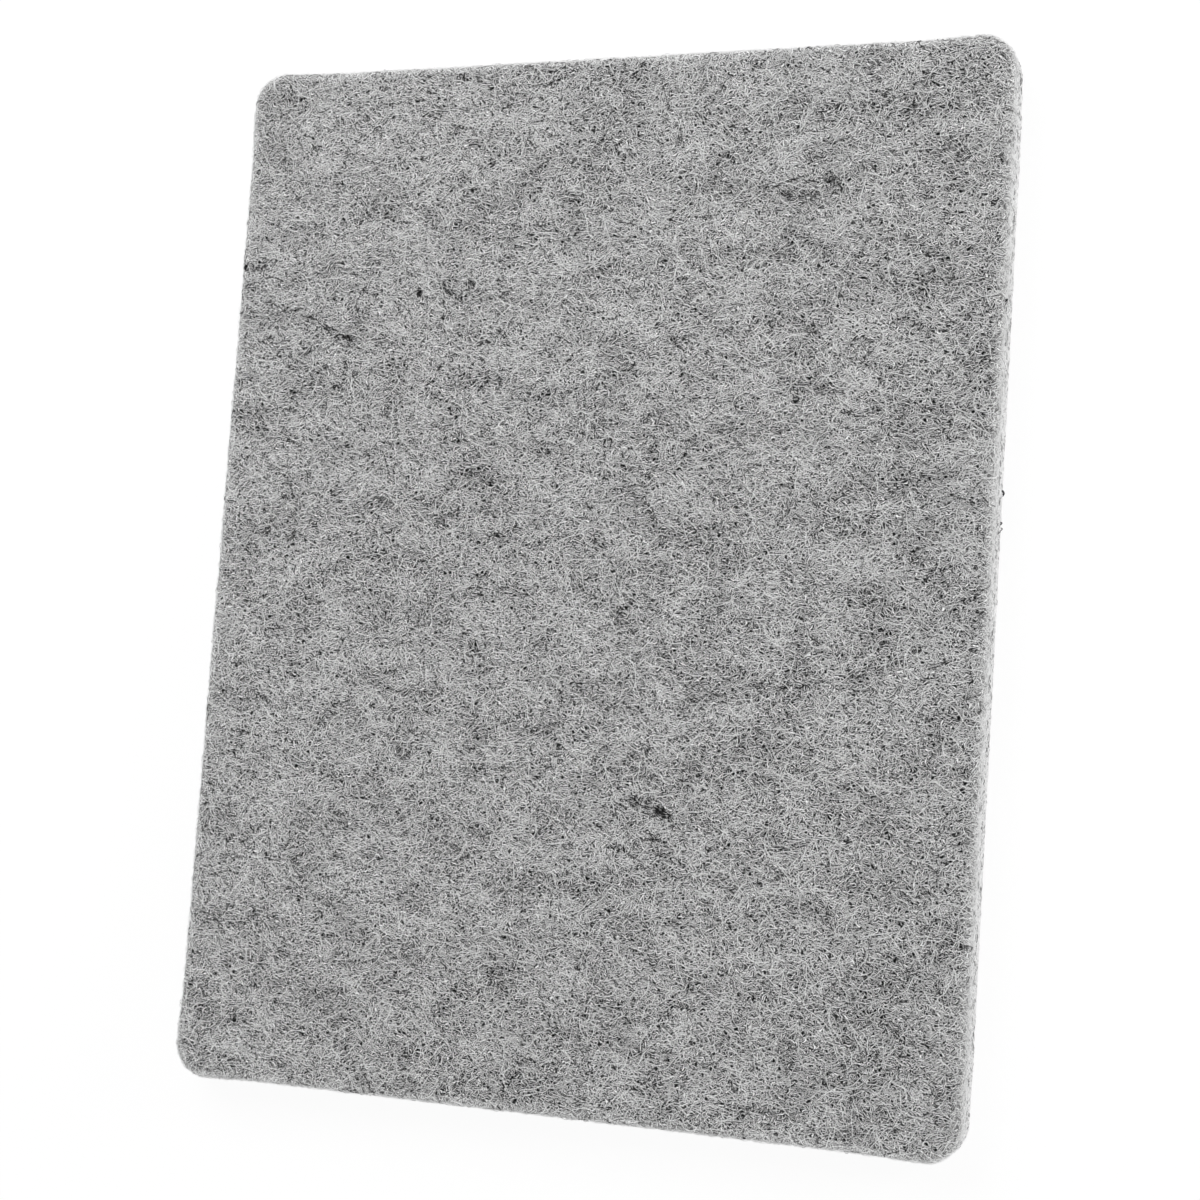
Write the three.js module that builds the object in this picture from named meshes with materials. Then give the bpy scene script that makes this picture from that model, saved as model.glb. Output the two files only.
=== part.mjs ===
// Ironing pad: a slab of pressed grey wool felt, die-cut with round corners.
// It is laid up from sheets of felt, called plies, that are needle-punched together into one thick pad.
// Millimetres, +Z up. The origin is the middle of the underside, where the pad lies on the table.
// X runs across the pad and Y along it.

import * as THREE from "three";

// Outline of the die-cut slab, at its widest points
const PAD_WIDTH = 216;
const PAD_LENGTH = 280;
const CORNER_RADIUS = 9;

// The felt relaxes after cutting: each side draws in between the shoulders at its two ends
const SIDE_DRAW_IN = 0.5;
const SHOULDER_LENGTH = 18;

// The stack, from the table up
const PLY_NAMES = ["bottom_ply", "lower_core_ply", "upper_core_ply", "top_ply"];
const PLY_THICKNESS = 3.1;
const PLY_GAP = 0.1;

// Edge sections: the pad's two outer edges are pressed round, and the plies meet in shallow seams
const ARRIS_RADIUS = 1.4;
const SEAM_RADIUS = 0.4;

// Facets
const CORNER_STEPS = 8;
const SHOULDER_STEPS = 4;
const ROUND_STEPS = 4;

// Finish: the faces are mid grey, and the cut edges of the core show a little paler
const FACE_GREY = "#999999";
const CORE_GREY = "#b4b4b4";
const FELT_ROUGHNESS = 0.95;

const QUARTER_TURN = Math.PI / 2;

/** Eases from 0 at t = 0 to 1 at t = 1 with level ends. */
const ease = (t) => (1 - Math.cos(Math.PI * t)) / 2;

/**
 * The pad's outline, counter-clockwise from above, moved inwards by inset all round.
 * Each corner arc is followed by the drawn-in side that leads to the next corner.
 */
function padOutline(inset) {
  const radius = CORNER_RADIUS - inset;
  const halfWidth = PAD_WIDTH / 2 - CORNER_RADIUS;
  const halfLength = PAD_LENGTH / 2 - CORNER_RADIUS;
  const centres = [
    new THREE.Vector2(halfWidth, halfLength),
    new THREE.Vector2(-halfWidth, halfLength),
    new THREE.Vector2(-halfWidth, -halfLength),
    new THREE.Vector2(halfWidth, -halfLength),
  ];
  const points = [];
  centres.forEach((centre, corner) => {
    const start = corner * QUARTER_TURN;
    for (let step = 0; step <= CORNER_STEPS; step++) {
      const angle = start + (step / CORNER_STEPS) * QUARTER_TURN;
      points.push(new THREE.Vector2(Math.cos(angle), Math.sin(angle)).multiplyScalar(radius).add(centre));
    }
    const next = centres[(corner + 1) % centres.length];
    const outward = new THREE.Vector2(0, 1).rotateAround(new THREE.Vector2(), start);
    points.push(...drawnInSide(centre, next, outward, radius));
  });
  return points;
}

/** Points along one side, between two corner centres, that ease inwards from a shoulder at each end. */
function drawnInSide(from, to, outward, radius) {
  const run = from.distanceTo(to);
  const shoulders = [];
  for (let step = 1; step <= SHOULDER_STEPS; step++) {
    shoulders.push(step / SHOULDER_STEPS);
  }
  const sideAt = (distance, share) =>
    from
      .clone()
      .lerp(to, distance / run)
      .addScaledVector(outward, radius - SIDE_DRAW_IN * ease(share));
  return [
    ...shoulders.map((share) => sideAt(share * SHOULDER_LENGTH, share)),
    ...shoulders.reverse().map((share) => sideAt(run - share * SHOULDER_LENGTH, share)),
  ];
}

/** A quarter round between a flat face and the side, as steps of inset from the side and rise from the face. */
function roundOver(radius) {
  return Array.from({ length: ROUND_STEPS + 1 }, (_, step) => {
    const angle = (step / ROUND_STEPS) * QUARTER_TURN;
    return { inset: radius * (1 - Math.sin(angle)), rise: radius * (1 - Math.cos(angle)) };
  });
}

/** A ply's edge section from its underside to its top, as steps of inset and height. */
function edgeSection(lowerRadius, upperRadius) {
  const lower = roundOver(lowerRadius).map(({ inset, rise }) => ({ inset, height: rise }));
  const upper = roundOver(upperRadius).map(({ inset, rise }) => ({ inset, height: PLY_THICKNESS - rise }));
  return [...lower, ...upper.reverse()];
}

/** Lofts the pad's outline up an edge section and closes it with a flat face at each end. */
function loft(section) {
  const rings = section.map(({ inset }) => padOutline(inset));
  const count = rings[0].length;
  const positions = section.flatMap(({ height }, ring) => rings[ring].flatMap(({ x, y }) => [x, y, height]));
  const faces = [];
  for (let ring = 0; ring + 1 < rings.length; ring++) {
    for (let point = 0; point < count; point++) {
      const here = ring * count + point;
      const beside = ring * count + ((point + 1) % count);
      faces.push(here, beside, beside + count, here, beside + count, here + count);
    }
  }
  const last = rings.length - 1;
  for (const [a, b, c] of THREE.ShapeUtils.triangulateShape(rings[0], [])) {
    faces.push(a, c, b);
  }
  for (const [a, b, c] of THREE.ShapeUtils.triangulateShape(rings[last], [])) {
    faces.push(last * count + a, last * count + b, last * count + c);
  }
  const geometry = new THREE.BufferGeometry();
  geometry.setAttribute("position", new THREE.Float32BufferAttribute(positions, 3));
  geometry.setIndex(faces);
  geometry.computeVertexNormals();
  return geometry;
}

/** One ply at its level in the stack. The outer plies carry the pad's round edges. */
function feltPly(name, level) {
  const isBottom = level === 0;
  const isTop = level === PLY_NAMES.length - 1;
  const section = edgeSection(isBottom ? ARRIS_RADIUS : SEAM_RADIUS, isTop ? ARRIS_RADIUS : SEAM_RADIUS);
  const felt = new THREE.MeshStandardMaterial({
    color: isBottom || isTop ? FACE_GREY : CORE_GREY,
    roughness: FELT_ROUGHNESS,
    metalness: 0,
  });
  const ply = new THREE.Mesh(loft(section), felt);
  ply.name = name;
  ply.position.z = level * (PLY_THICKNESS + PLY_GAP);
  return ply;
}

const ironingPad = new THREE.Group();
PLY_NAMES.forEach((name, level) => ironingPad.add(feltPly(name, level)));

export default ironingPad;
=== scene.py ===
"""Ironing pad: a slab of pressed grey wool felt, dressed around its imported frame.

The pad lies flat on a pale floor, seen from above.
Four plies of felt replace the plain solids.
Loose wool fibres lie on the pressing face, run along the cut edges and stand a little off them.
Everything is in metres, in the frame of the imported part: X across the pad, Y along it, Z up.
"""

from __future__ import annotations

import logging
import math
from dataclasses import dataclass
from enum import Enum
from typing import Any

import bpy
import numpy as np
from mathutils import Matrix, Vector

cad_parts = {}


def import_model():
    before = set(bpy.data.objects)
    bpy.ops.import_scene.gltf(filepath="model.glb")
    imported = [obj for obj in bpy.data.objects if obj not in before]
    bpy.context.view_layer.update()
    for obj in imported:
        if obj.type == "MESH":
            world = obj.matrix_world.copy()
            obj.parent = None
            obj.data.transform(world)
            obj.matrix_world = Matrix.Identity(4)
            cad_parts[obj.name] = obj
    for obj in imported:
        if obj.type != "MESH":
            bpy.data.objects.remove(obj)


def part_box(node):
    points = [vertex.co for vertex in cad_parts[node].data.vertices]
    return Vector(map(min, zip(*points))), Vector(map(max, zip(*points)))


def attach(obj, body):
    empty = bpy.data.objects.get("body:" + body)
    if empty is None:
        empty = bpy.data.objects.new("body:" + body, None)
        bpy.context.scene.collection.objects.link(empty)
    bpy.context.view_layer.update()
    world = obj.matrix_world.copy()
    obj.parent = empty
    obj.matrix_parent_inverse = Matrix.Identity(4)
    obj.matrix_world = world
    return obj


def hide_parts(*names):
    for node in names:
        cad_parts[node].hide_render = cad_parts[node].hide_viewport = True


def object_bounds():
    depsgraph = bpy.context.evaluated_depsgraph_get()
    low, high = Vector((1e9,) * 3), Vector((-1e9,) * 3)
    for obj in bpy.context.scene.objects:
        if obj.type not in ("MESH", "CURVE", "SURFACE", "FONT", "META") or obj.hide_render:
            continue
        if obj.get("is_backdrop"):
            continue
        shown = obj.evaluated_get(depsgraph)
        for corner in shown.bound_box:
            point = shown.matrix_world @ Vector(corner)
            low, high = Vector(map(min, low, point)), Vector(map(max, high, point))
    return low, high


LOG = logging.getLogger("ironing_pad")

MM = 0.001
ROOT_BODY = "root"

# How far the loose fibres stand off the felt at the pad's rim
NAP = 0.3 * MM

# Maps and attributes of the meshes
RUN_MAP = "edge_run"
BAKE_MAP = "OFBake"
EDGE_AND_PAINTED_LIGHT_SHARE = "edge"
WOOL_TONE = "tone"

Array = np.ndarray
Triple = tuple[float, float, float]


class FeltSlot(Enum):
    """The record's material slots."""

    FACE = "felt_face"
    CORE = "felt_core"


def grey(level: float) -> tuple[float, float, float, float]:
    """Gives a neutral colour, with its alpha, for a linear grey level."""
    return (level, level, level, 1.0)


def ease(share: Array) -> Array:
    """Eases from 0 at a share of 0 to 1 at a share of 1, with level ends."""
    return (1.0 - np.cos(np.pi * np.clip(share, 0.0, 1.0))) / 2.0


class ShaderValue:
    """A shader socket that adds Math nodes when it is used in an expression."""

    def __init__(self, graph: ShaderGraph, socket: bpy.types.NodeSocket) -> None:
        """Wraps a socket of a graph.

        Args:
            graph: The graph that the new nodes go into.
            socket: The output socket that holds the value.
        """
        self.graph = graph
        self.socket = socket

    def math(self, operation: str, *operands: ShaderValue | float) -> ShaderValue:
        """Adds one Math node.

        Args:
            operation: The node's operation.
            operands: Its inputs, in order.

        Returns:
            The node's result.
        """
        return self.graph.node("ShaderNodeMath", {"operation": operation}, dict(enumerate(operands)))

    def __add__(self, other: ShaderValue | float) -> ShaderValue:
        """Gives self + other."""
        return self.math("ADD", self, other)

    def __radd__(self, other: float) -> ShaderValue:
        """Gives other + self."""
        return self.math("ADD", other, self)

    def __sub__(self, other: ShaderValue | float) -> ShaderValue:
        """Gives self - other."""
        return self.math("SUBTRACT", self, other)

    def __rsub__(self, other: float) -> ShaderValue:
        """Gives other - self."""
        return self.math("SUBTRACT", other, self)

    def __mul__(self, other: ShaderValue | float) -> ShaderValue:
        """Gives self * other."""
        return self.math("MULTIPLY", self, other)

    def __rmul__(self, other: float) -> ShaderValue:
        """Gives other * self."""
        return self.math("MULTIPLY", other, self)

    def __pow__(self, power: ShaderValue | float) -> ShaderValue:
        """Gives self to a power."""
        return self.math("POWER", self, power)

    def beside(self, output: str) -> ShaderValue:
        """Gives another output of the same node."""
        return ShaderValue(self.graph, self.socket.node.outputs[output])

    def absolute(self) -> ShaderValue:
        """Gives the value without its sign."""
        return self.math("ABSOLUTE", self)

    def sine(self) -> ShaderValue:
        """Gives the sine of an angle."""
        return self.math("SINE", self)

    def maximum(self, other: ShaderValue | float) -> ShaderValue:
        """Gives the larger of the two values."""
        return self.math("MAXIMUM", self, other)

    def band(self, low: float, high: float) -> ShaderValue:
        """Rises smoothly from 0 to 1 across a band of values.

        Args:
            low: The value where the rise starts.
            high: The value where it ends.

        Returns:
            The share of the rise.
        """
        settings = {"interpolation_type": "SMOOTHSTEP", "clamp": True}
        sockets = {"Value": self, "From Min": low, "From Max": high}
        return self.graph.node("ShaderNodeMapRange", settings, sockets)


class ShaderGraph:
    """The node tree of a material or a world, written as expressions."""

    def __init__(self, tree: bpy.types.NodeTree) -> None:
        """Empties a node tree.

        Args:
            tree: The tree that is written.
        """
        self.tree = tree
        self.tree.nodes.clear()

    @classmethod
    def for_material(cls, name: str) -> tuple[bpy.types.Material, ShaderGraph]:
        """Adds a material.

        Args:
            name: The material's name.

        Returns:
            The material and its empty graph.
        """
        material = bpy.data.materials.new(name)
        material.use_nodes = True
        return material, cls(material.node_tree)

    def node(
        self,
        kind: str,
        settings: dict[str, Any] | None = None,
        inputs: dict[str | int, Any] | None = None,
        output: str | int = 0,
    ) -> ShaderValue:
        """Adds one node.

        Args:
            kind: The node's type.
            settings: Properties that are set before the sockets.
            inputs: Values or links for its sockets, by name or place.
            output: The output that is given back, by name or place.

        Returns:
            The wrapped output, or the first input's wrapper on a node with no output.
        """
        made = self.tree.nodes.new(kind)
        for name, value in (settings or {}).items():
            setattr(made, name, value)
        for name, value in (inputs or {}).items():
            if isinstance(value, ShaderValue):
                self.tree.links.new(value.socket, made.inputs[name])
            else:
                made.inputs[name].default_value = value
        return ShaderValue(self, made.outputs[output] if made.outputs else made.inputs[0])

    def scaled(self, vector: ShaderValue, factors: Triple) -> ShaderValue:
        """Multiplies a vector by three factors."""
        return self.node("ShaderNodeVectorMath", {"operation": "MULTIPLY"}, {0: vector, 1: factors})

    def moved(self, vector: ShaderValue, offset: ShaderValue | Triple) -> ShaderValue:
        """Adds an offset to a vector."""
        return self.node("ShaderNodeVectorMath", {"operation": "ADD"}, {0: vector, 1: offset})

    def turned(self, vector: ShaderValue, angle: ShaderValue | float) -> ShaderValue:
        """Turns a vector about Z."""
        sockets = {"Vector": vector, "Angle": angle}
        return self.node("ShaderNodeVectorRotate", {"rotation_type": "Z_AXIS"}, sockets)

    def mixed(self, share: ShaderValue | float, low: Any, high: Any) -> ShaderValue:
        """Mixes two colours.

        Args:
            share: How much of the second colour there is, from 0 to 1.
            low: The first colour, or a link.
            high: The second colour, or a link.

        Returns:
            The mixed colour.
        """
        sockets = {"Factor": share, 6: low, 7: high}
        return self.node("ShaderNodeMix", {"data_type": "RGBA"}, sockets, output=2)

    def noise(self, vector: ShaderValue, scale: float, detail: float, roughness: float = 0.5) -> ShaderValue:
        """Adds a noise texture.

        Args:
            vector: Where the noise is read.
            scale: Its features for each unit of the vector.
            detail: Its octaves above the first.
            roughness: How strong each octave is beside the one before.

        Returns:
            The noise, from 0 to 1, about 0.5 on average.
        """
        sockets = {"Vector": vector, "Scale": scale, "Detail": detail, "Roughness": roughness}
        return self.node("ShaderNodeTexNoise", {"noise_dimensions": "3D"}, sockets, output="Fac")

    def finish(self, output: str, shader: ShaderValue) -> None:
        """Ends the tree in its output node."""
        self.node(output, {}, {"Surface": shader})


@dataclass(frozen=True)
class FeltFinish:
    """Pressed wool felt: layers of short crimped fibres of several greys, with a slight lie across the pad.

    Greys are linear. Lengths are in millimetres.
    """

    name: str

    # Where the pattern lies: on Object coordinates, or along and up the cut edge by this map
    run_map: str = ""
    rise: float = 1.0

    # Greys, from the gaps between fibres to the palest wool; shade is how dark the painted shadow beside
    # each fibre gets
    dark_wool: float = 0.0
    pale_wool: float = 1.0
    gap: float = 0.01
    lean: float = 0.4
    depth: float = 0.8
    shade: float = 0.94

    # Fibres
    layers: int = 3
    layer_turn: float = 0.9
    cell: float = 1.1
    stroke_length: float = 1.1
    stroke_width: float = 0.1
    painted_shadow_width: float = 0.285
    stroke_shift: float = 0.3
    stroke_fade: float = 0.7
    painted_shadow_core: float = 0.5
    layer_step: Triple = (37.3, 91.7, 0.0)
    crisp: float = 0.9
    bow: float = 0.5
    lie: float = 0.4
    curl: float = 1.1
    curl_pitch: float = 1.8

    # Cloudy patches and fine grain
    mottle_weight: float = 2.8
    mottle_skew: float = 2.0
    mottle_pitch: float = 7.5
    mottle_lie: float = 0.5
    mottle_detail: float = 3.0
    mottle_roughness: float = 0.6
    grain: float = 1.0
    grain_pitch: float = 0.35

    # The cut edge shows paler, more even wool, partly as painted light that stands in for the light falling
    # on the side
    edge_pale_and_painted_light: float = 0.93
    edge_soften: float = 0.5

    # Surface
    roughness: float = 0.95
    specular: float = 0.2
    sheen: float = 0.05
    relief_layers: int = 2
    relief_strength: float = 0.5
    relief_depth: float = 0.2 * MM

    def make(self) -> bpy.types.Material:
        """Writes the felt's nodes.

        Returns:
            The material.
        """
        material, graph = ShaderGraph.for_material(self.name)
        place = self.place(graph)
        fibres, relief = self.fibres(graph, place)
        tone = fibres ** (1.0 + self.cloud(graph, place))
        edge = graph.node("ShaderNodeAttribute", {"attribute_name": EDGE_AND_PAINTED_LIGHT_SHARE}, output="Fac")
        # Paler felt on the cut edge and over the rim, partly painted light, and paler still at the shaded
        # foot as painted light
        tone = tone + self.edge_soften * edge * (self.edge_pale_and_painted_light - tone)
        sockets = {"Strength": self.relief_strength, "Distance": self.relief_depth, "Height": relief}
        normal = graph.node("ShaderNodeBump", {}, sockets)
        sockets = {
            "Base Color": graph.mixed(tone, grey(self.dark_wool), grey(self.pale_wool)),
            "Roughness": self.roughness,
            "Specular IOR Level": self.specular,
            "Sheen Weight": self.sheen,
            "Normal": normal,
        }
        felt = graph.node("ShaderNodeBsdfPrincipled", {}, sockets)
        graph.finish("ShaderNodeOutputMaterial", felt)
        return material

    def place(self, graph: ShaderGraph) -> ShaderValue:
        """Finds where on the felt a point lies.

        Args:
            graph: The felt's nodes.

        Returns:
            The place in millimetres, across and along a face, or along and up an edge.
        """
        if self.run_map:
            run = graph.node("ShaderNodeUVMap", {"uv_map": self.run_map})
            return graph.scaled(run, (1.0, 1.0 / self.rise, 1.0))
        place = graph.node("ShaderNodeTexCoord", output="Object")
        return graph.scaled(place, (1.0 / MM, 1.0 / MM, 1.0 / MM))

    def fibres(self, graph: ShaderGraph, place: ShaderValue) -> tuple[ShaderValue, ShaderValue]:
        """Draws the matted fibres: layers of short strokes at all angles, with dark gaps between and a
        painted shadow beside each stroke.

        Args:
            graph: The felt's nodes.
            place: Where on the felt, in millimetres.

        Returns:
            The fibres' grey, and the relief of the uppermost layers.
        """
        sockets = {"Vector": place, "Scale": 1.0 / self.curl_pitch, "Detail": 1.0}
        curl = graph.node("ShaderNodeTexNoise", {"noise_dimensions": "2D"}, sockets, output="Color")
        curl = graph.scaled(graph.moved(curl, (-0.5, -0.5, -0.5)), (self.curl, self.curl, 0.0))
        curled = graph.moved(place, curl)
        mat: ShaderValue | float = self.gap
        relief: ShaderValue | float = 0.0
        for layer in range(self.layers):
            depth = self.depth + (1.0 - self.depth) * (layer + 1.0) / self.layers
            for shape, painted_shadow, chance in self.strokes(graph, curled, layer):
                tone = depth * chance ** self.lean
                # Painted shadow: each stroke darkens the felt beside it, as shade falls among the fibres
                mat = mat * (1.0 - self.shade * painted_shadow)
                mat = mat + shape * (tone - mat)
                if layer >= self.layers - self.relief_layers:
                    relief = relief + shape
        return mat, relief

    def strokes(
        self, graph: ShaderGraph, place: ShaderValue, layer: int
    ) -> list[tuple[ShaderValue, ShaderValue, ShaderValue]]:
        """Draws one layer of fibres, two in each cell of a random pattern of cells.

        Args:
            graph: The felt's nodes.
            place: Where on the felt, in millimetres.
            layer: The layer's number, which sets it apart from the others.

        Returns:
            For each of the two: its shape, 1 along its middle; the wider painted shadow beside it; a random
                number.
        """
        swing = self.layer_turn * layer
        turned = graph.turned(place, swing)
        step_x, step_y, step_z = self.layer_step
        apart = graph.moved(turned, (step_x * layer, step_y * layer, step_z * layer))
        settings = {"voronoi_dimensions": "2D", "feature": "F1"}
        sockets = {"Vector": apart, "Scale": 1.0 / self.cell}
        middle = graph.node("ShaderNodeTexVoronoi", settings, sockets, "Position")
        offset = graph.node("ShaderNodeVectorMath", {"operation": "SUBTRACT"}, {0: apart, 1: middle})
        red = graph.node("ShaderNodeSeparateColor", {}, {0: middle.beside("Color")})
        green = red.beside("Green")
        blue = red.beside("Blue")
        first = self.stroke(graph, offset, red, blue, -self.stroke_shift, swing)
        second = self.stroke(graph, offset, blue, red, self.stroke_shift, swing)
        return [(*first, green), (*second, 1.0 - green)]

    def stroke(
        self,
        graph: ShaderGraph,
        offset: ShaderValue,
        turn: ShaderValue,
        bow: ShaderValue,
        shift: float,
        swing: float,
    ) -> tuple[ShaderValue, ShaderValue]:
        """Draws one fibre in each cell.

        Args:
            graph: The felt's nodes.
            offset: The way from the cell's middle, in millimetres.
            turn: A random number for the fibre's direction.
            bow: A random number for its bow.
            shift: How far it lies beside the cell's middle.
            swing: How far the layer's cells are turned.

        Returns:
            The fibre's shape and the wider painted shadow beside it.
        """
        angle = math.pi * (turn - 0.5)
        angle = angle - 0.5 * self.lie * (2.0 * angle).sine() - swing
        along = graph.node("ShaderNodeSeparateXYZ", {}, {0: graph.turned(offset, angle)})
        across = along.beside("Y") + shift + along * along * (2.0 * self.bow * (bow - 0.5))
        aside = across.absolute()
        end = along.absolute().band(self.stroke_length, self.stroke_fade * self.stroke_length)
        shape = end * aside.band(self.stroke_width, self.crisp * self.stroke_width)
        painted_shadow = end * aside.band(self.painted_shadow_width, self.painted_shadow_core * self.stroke_width)
        return shape, painted_shadow

    def cloud(self, graph: ShaderGraph, place: ShaderValue) -> ShaderValue:
        """Draws the cloudy patches and the grain.

        Args:
            graph: The felt's nodes.
            place: Where on the felt, in millimetres.

        Returns:
            How much darker the wool is, below 0 where it is paler.
        """
        across = graph.scaled(place, (self.mottle_lie, 1.0, 1.0))
        mottle = graph.noise(across, 1.0 / self.mottle_pitch, self.mottle_detail, self.mottle_roughness)
        grain = graph.noise(place, 1.0 / self.grain_pitch, 0.0)
        darker = 0.5 - mottle
        patches = darker + self.mottle_skew * darker * darker
        return self.mottle_weight * patches + self.grain * (0.5 - grain)


@dataclass
class PadOutline:
    """The die-cut outline of the pad in plan. Its sides draw in between the shoulders at their ends."""

    half_width: float
    half_length: float
    corner_radius: float = 9.0 * MM
    draw_in: float = 0.5 * MM
    right_draw_in: float = -0.25 * MM
    shoulder: float = 18.0 * MM

    # Gaps that agree to this many decimals of a metre are equal
    decimals: int = 7

    @property
    def core_x(self) -> float:
        """Gives how far the corners' centres lie across the pad."""
        return self.half_width - self.corner_radius

    @property
    def core_y(self) -> float:
        """Gives how far the corners' centres lie along the pad."""
        return self.half_length - self.corner_radius

    def drawn(self, x: Array, y: Array) -> tuple[Array, Array]:
        """Gives how far the sides beside some points draw in.

        Args:
            x: Where the points lie across the pad.
            y: Where they lie along it.

        Returns:
            The draw-in across the pad and along it.
        """
        depth = np.where(x > 0.0, self.right_draw_in, self.draw_in)
        draw_x = depth * ease((self.core_y - np.abs(y)) / self.shoulder)
        draw_y = self.draw_in * ease((self.core_x - np.abs(x)) / self.shoulder)
        return draw_x, draw_y

    def lay(self, x: Array, y: Array) -> tuple[Array, Array, Array, Array]:
        """Moves points of a sharp rectangle onto the round, drawn-in outline.

        Args:
            x: Where the points lie across the rectangle.
            y: Where they lie along it.

        Returns:
            The moved points and the outward direction at each, as x, y, direction x and direction y.
        """
        radius = self.corner_radius
        across = np.clip((np.abs(x) - self.core_x) / radius, 0.0, 1.0)
        along = np.clip((np.abs(y) - self.core_y) / radius, 0.0, 1.0)
        corner = (across > 0.0) & (along > 0.0)
        reach = np.maximum(across, along)
        least = np.minimum(across, along)
        turn = np.pi / 4.0 * np.divide(least, reach, out=np.zeros_like(reach), where=corner)
        angle = np.where(across >= along, turn, np.pi / 2.0 - turn)
        laid_x = np.where(corner, self.core_x + radius * reach * np.cos(angle), np.abs(x))
        laid_y = np.where(corner, self.core_y + radius * reach * np.sin(angle), np.abs(y))
        nearer_x = self.half_width - np.abs(x) < self.half_length - np.abs(y)
        out_x = np.where(corner, np.cos(angle), np.where(nearer_x, 1.0, 0.0))
        out_y = np.where(corner, np.sin(angle), np.where(nearer_x, 0.0, 1.0))
        draw_x, draw_y = self.drawn(x, y)
        laid_x = laid_x * (1.0 - draw_x / self.half_width)
        laid_y = laid_y * (1.0 - draw_y / self.half_length)
        return laid_x * np.sign(x), laid_y * np.sign(y), out_x * np.sign(x), out_y * np.sign(y)

    def walk(self, share: Array) -> tuple[Array, Array, Array]:
        """Walks round the outline, counter-clockwise from the foot of the right side.

        Args:
            share: How far round, from 0 to 1.

        Returns:
            The points, as x and y, and the angle of the outward direction at each.
        """
        quarter = self.corner_radius * np.pi / 2.0
        distance = share * (4.0 * self.core_x + 4.0 * self.core_y + 4.0 * quarter)
        x = np.zeros_like(share)
        y = np.zeros_like(share)
        out = np.zeros_like(share)
        start = 0.0
        for side in range(4):
            facing = side * np.pi / 2.0
            half = (self.core_y, self.core_x)[side % 2]
            ahead = (self.core_x, self.core_y)[side % 2]
            here = (distance >= start) & (distance < start + 2.0 * half + quarter)
            along = np.clip(distance - start, 0.0, 2.0 * half) - half
            turn = facing + np.clip((distance - start - 2.0 * half) / self.corner_radius, 0.0, np.pi / 2.0)
            side_x = ahead * np.cos(facing) - along * np.sin(facing) + self.corner_radius * np.cos(turn)
            side_y = ahead * np.sin(facing) + along * np.cos(facing) + self.corner_radius * np.sin(turn)
            x = np.where(here, side_x, x)
            y = np.where(here, side_y, y)
            out = np.where(here, turn, out)
            start += 2.0 * half + quarter
        return x, y, out

    def rim_run(self, x: Array, y: Array) -> Array:
        """Measures round the sharp rectangle's rim, from the foot of the right side.

        Args:
            x: Where the points lie across the rectangle.
            y: Where they lie along it.

        Returns:
            How far round each point lies.
        """
        right = y + self.half_length
        far = 2.0 * self.half_length + self.half_width - x
        left = 2.0 * self.half_width + 3.0 * self.half_length - y
        near = 4.0 * self.half_length + 3.0 * self.half_width + x
        gaps = (self.half_width - x, self.half_length - y, self.half_width + x, self.half_length + y)
        nearest = np.argmin(np.round(np.stack(gaps), self.decimals), axis=0)
        return np.choose(nearest, (right, far, left, near))

    def side_run(self, run: Array) -> tuple[Array, Array]:
        """Splits the way round the rim into its four sides.

        Args:
            run: How far round the corners of each side face lie, one row for each face.

        Returns:
            The number of the side and how far along it each corner lies, from 0 to 1.
        """
        lengths = 2.0 * np.array((self.half_length, self.half_width, self.half_length, self.half_width))
        starts = np.concatenate(([0.0], np.cumsum(lengths)[:-1]))
        number = np.searchsorted(starts, run.mean(axis=1, keepdims=True), side="right") - 1
        return number, (run - starts[number]) / lengths[number]

    @property
    def rim_length(self) -> float:
        """Gives the length of the sharp rectangle's rim."""
        return 4.0 * (self.half_width + self.half_length)


@dataclass(frozen=True)
class Unevenness:
    """Smooth random hills on a plane, the same on every run."""

    pitch: float
    height: float
    seed: int
    span: float = 400.0 * MM

    def at(self, x: Array, y: Array) -> Array:
        """Gives the hills' height at points of the plane.

        Args:
            x: The points' first coordinate.
            y: Their second coordinate.

        Returns:
            Heights between minus and plus the hills' height.
        """
        count = int(self.span / self.pitch) + 2
        lattice = np.random.default_rng(self.seed).uniform(-1.0, 1.0, (count, count))
        column = (x + self.span / 2.0) / self.pitch
        row = (y + self.span / 2.0) / self.pitch
        left = np.floor(column).astype(int) % (count - 1)
        low = np.floor(row).astype(int) % (count - 1)
        right_share = ease(column - np.floor(column))
        high_share = ease(row - np.floor(row))
        near = lattice[left, low] * (1.0 - right_share) + lattice[left + 1, low] * right_share
        far = lattice[left, low + 1] * (1.0 - right_share) + lattice[left + 1, low + 1] * right_share
        return self.height * (near * (1.0 - high_share) + far * high_share)


@dataclass(frozen=True)
class FeltRelief:
    """The unevenness of the pad's surface: waves of its face and the wander of its cut edge."""

    waves: tuple[Unevenness, ...] = (
        Unevenness(pitch=17.0 * MM, height=0.12 * MM, seed=11),
        Unevenness(pitch=4.5 * MM, height=0.07 * MM, seed=12),
    )
    wander: tuple[Unevenness, ...] = (
        Unevenness(pitch=13.0 * MM, height=0.05 * MM, seed=21),
        Unevenness(pitch=2.6 * MM, height=0.06 * MM, seed=22),
    )

    def face(self, x: Array, y: Array) -> Array:
        """Gives how far the face stands up at some points."""
        return sum(hills.at(x, y) for hills in self.waves)

    def edge(self, x: Array, y: Array, z: Array) -> Array:
        """Gives how far the cut edge stands out at some points."""
        return sum(hills.at(x + z, y - z) for hills in self.wander)


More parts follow.
